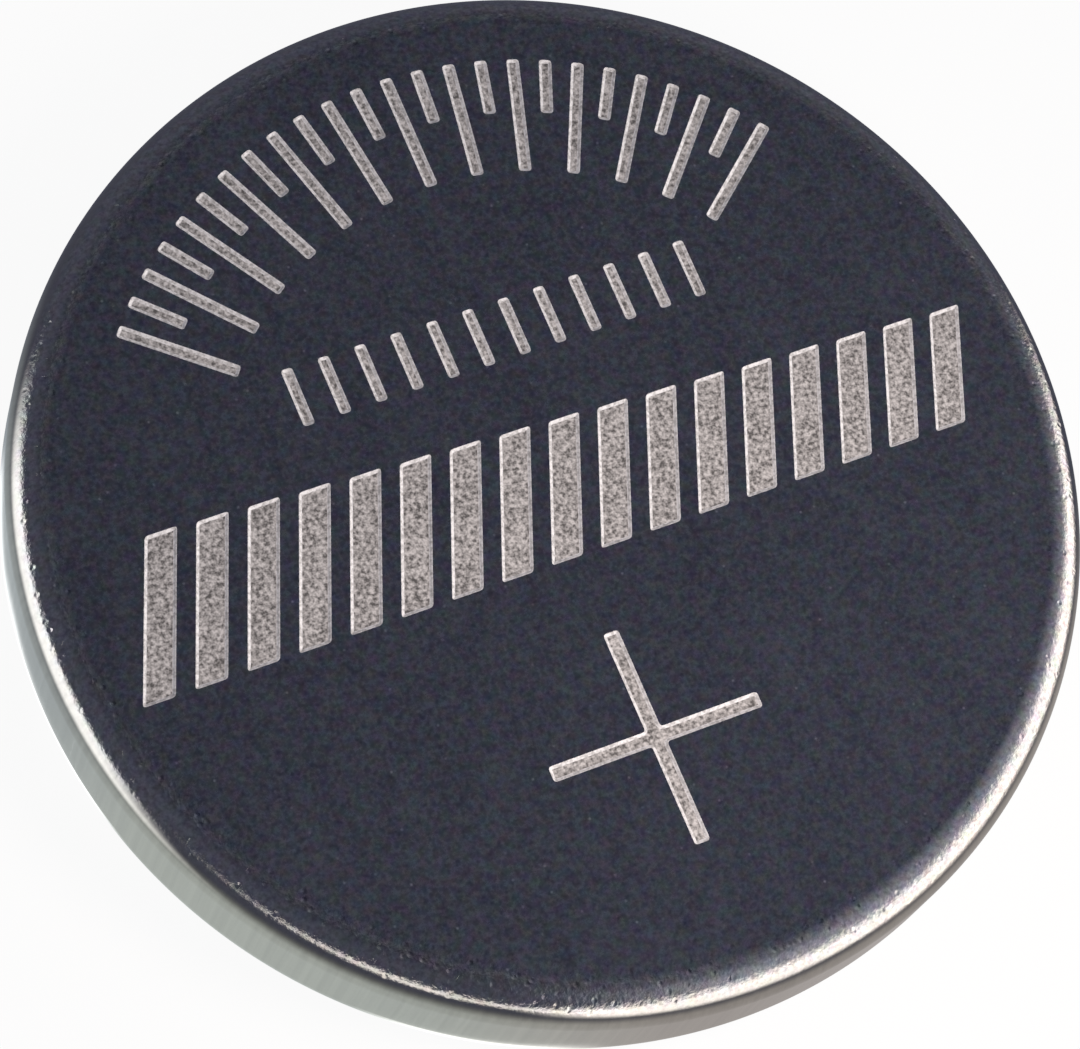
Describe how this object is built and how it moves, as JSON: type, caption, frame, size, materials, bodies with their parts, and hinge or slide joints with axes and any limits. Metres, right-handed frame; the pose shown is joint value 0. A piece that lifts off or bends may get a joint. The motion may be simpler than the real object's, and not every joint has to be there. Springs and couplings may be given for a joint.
{
  "type": "lithium coin cell",
  "caption": "Flat round lithium coin cell: a drawn can crimped over a moulded seal and a stepped cap, with its layered inside and plain coined marks.",
  "frame": {"origin": "centre of the negative cap's outer face, on which the cell lies", "axes": "+Z along the cell's axis from the negative cap to the positive face; +X to the right along the baseline of the marks on the positive face, read upright; +Y towards the top of those marks"},
  "size_m": [0.02, 0.02, 0.0032],
  "materials": {
    "can_nickel": "nickel-plated stainless steel, satin-polished face with frosted coined marks, brighter drawn corner and wall",
    "cap_nickel": "nickel-plated stainless steel, fine rolled grain",
    "gasket_polypropylene": "moulded polypropylene with a film of dark sealant",
    "pressed_manganese_dioxide": "pressed black powder, matt",
    "collector_steel": "expanded stainless steel mesh",
    "separator_nonwoven": "non-woven polypropylene, soft white",
    "lithium_metal": "soft rolled lithium foil, dull silver"
  },
  "bodies": {
    "root": {"positive_can": "can_nickel", "negative_cap": "cap_nickel", "sealing_gasket": "gasket_polypropylene", "cathode_pellet": "pressed_manganese_dioxide", "cathode_collector": "collector_steel", "separator": "separator_nonwoven", "lithium_anode": "lithium_metal"}
  },
  "joints": []
}
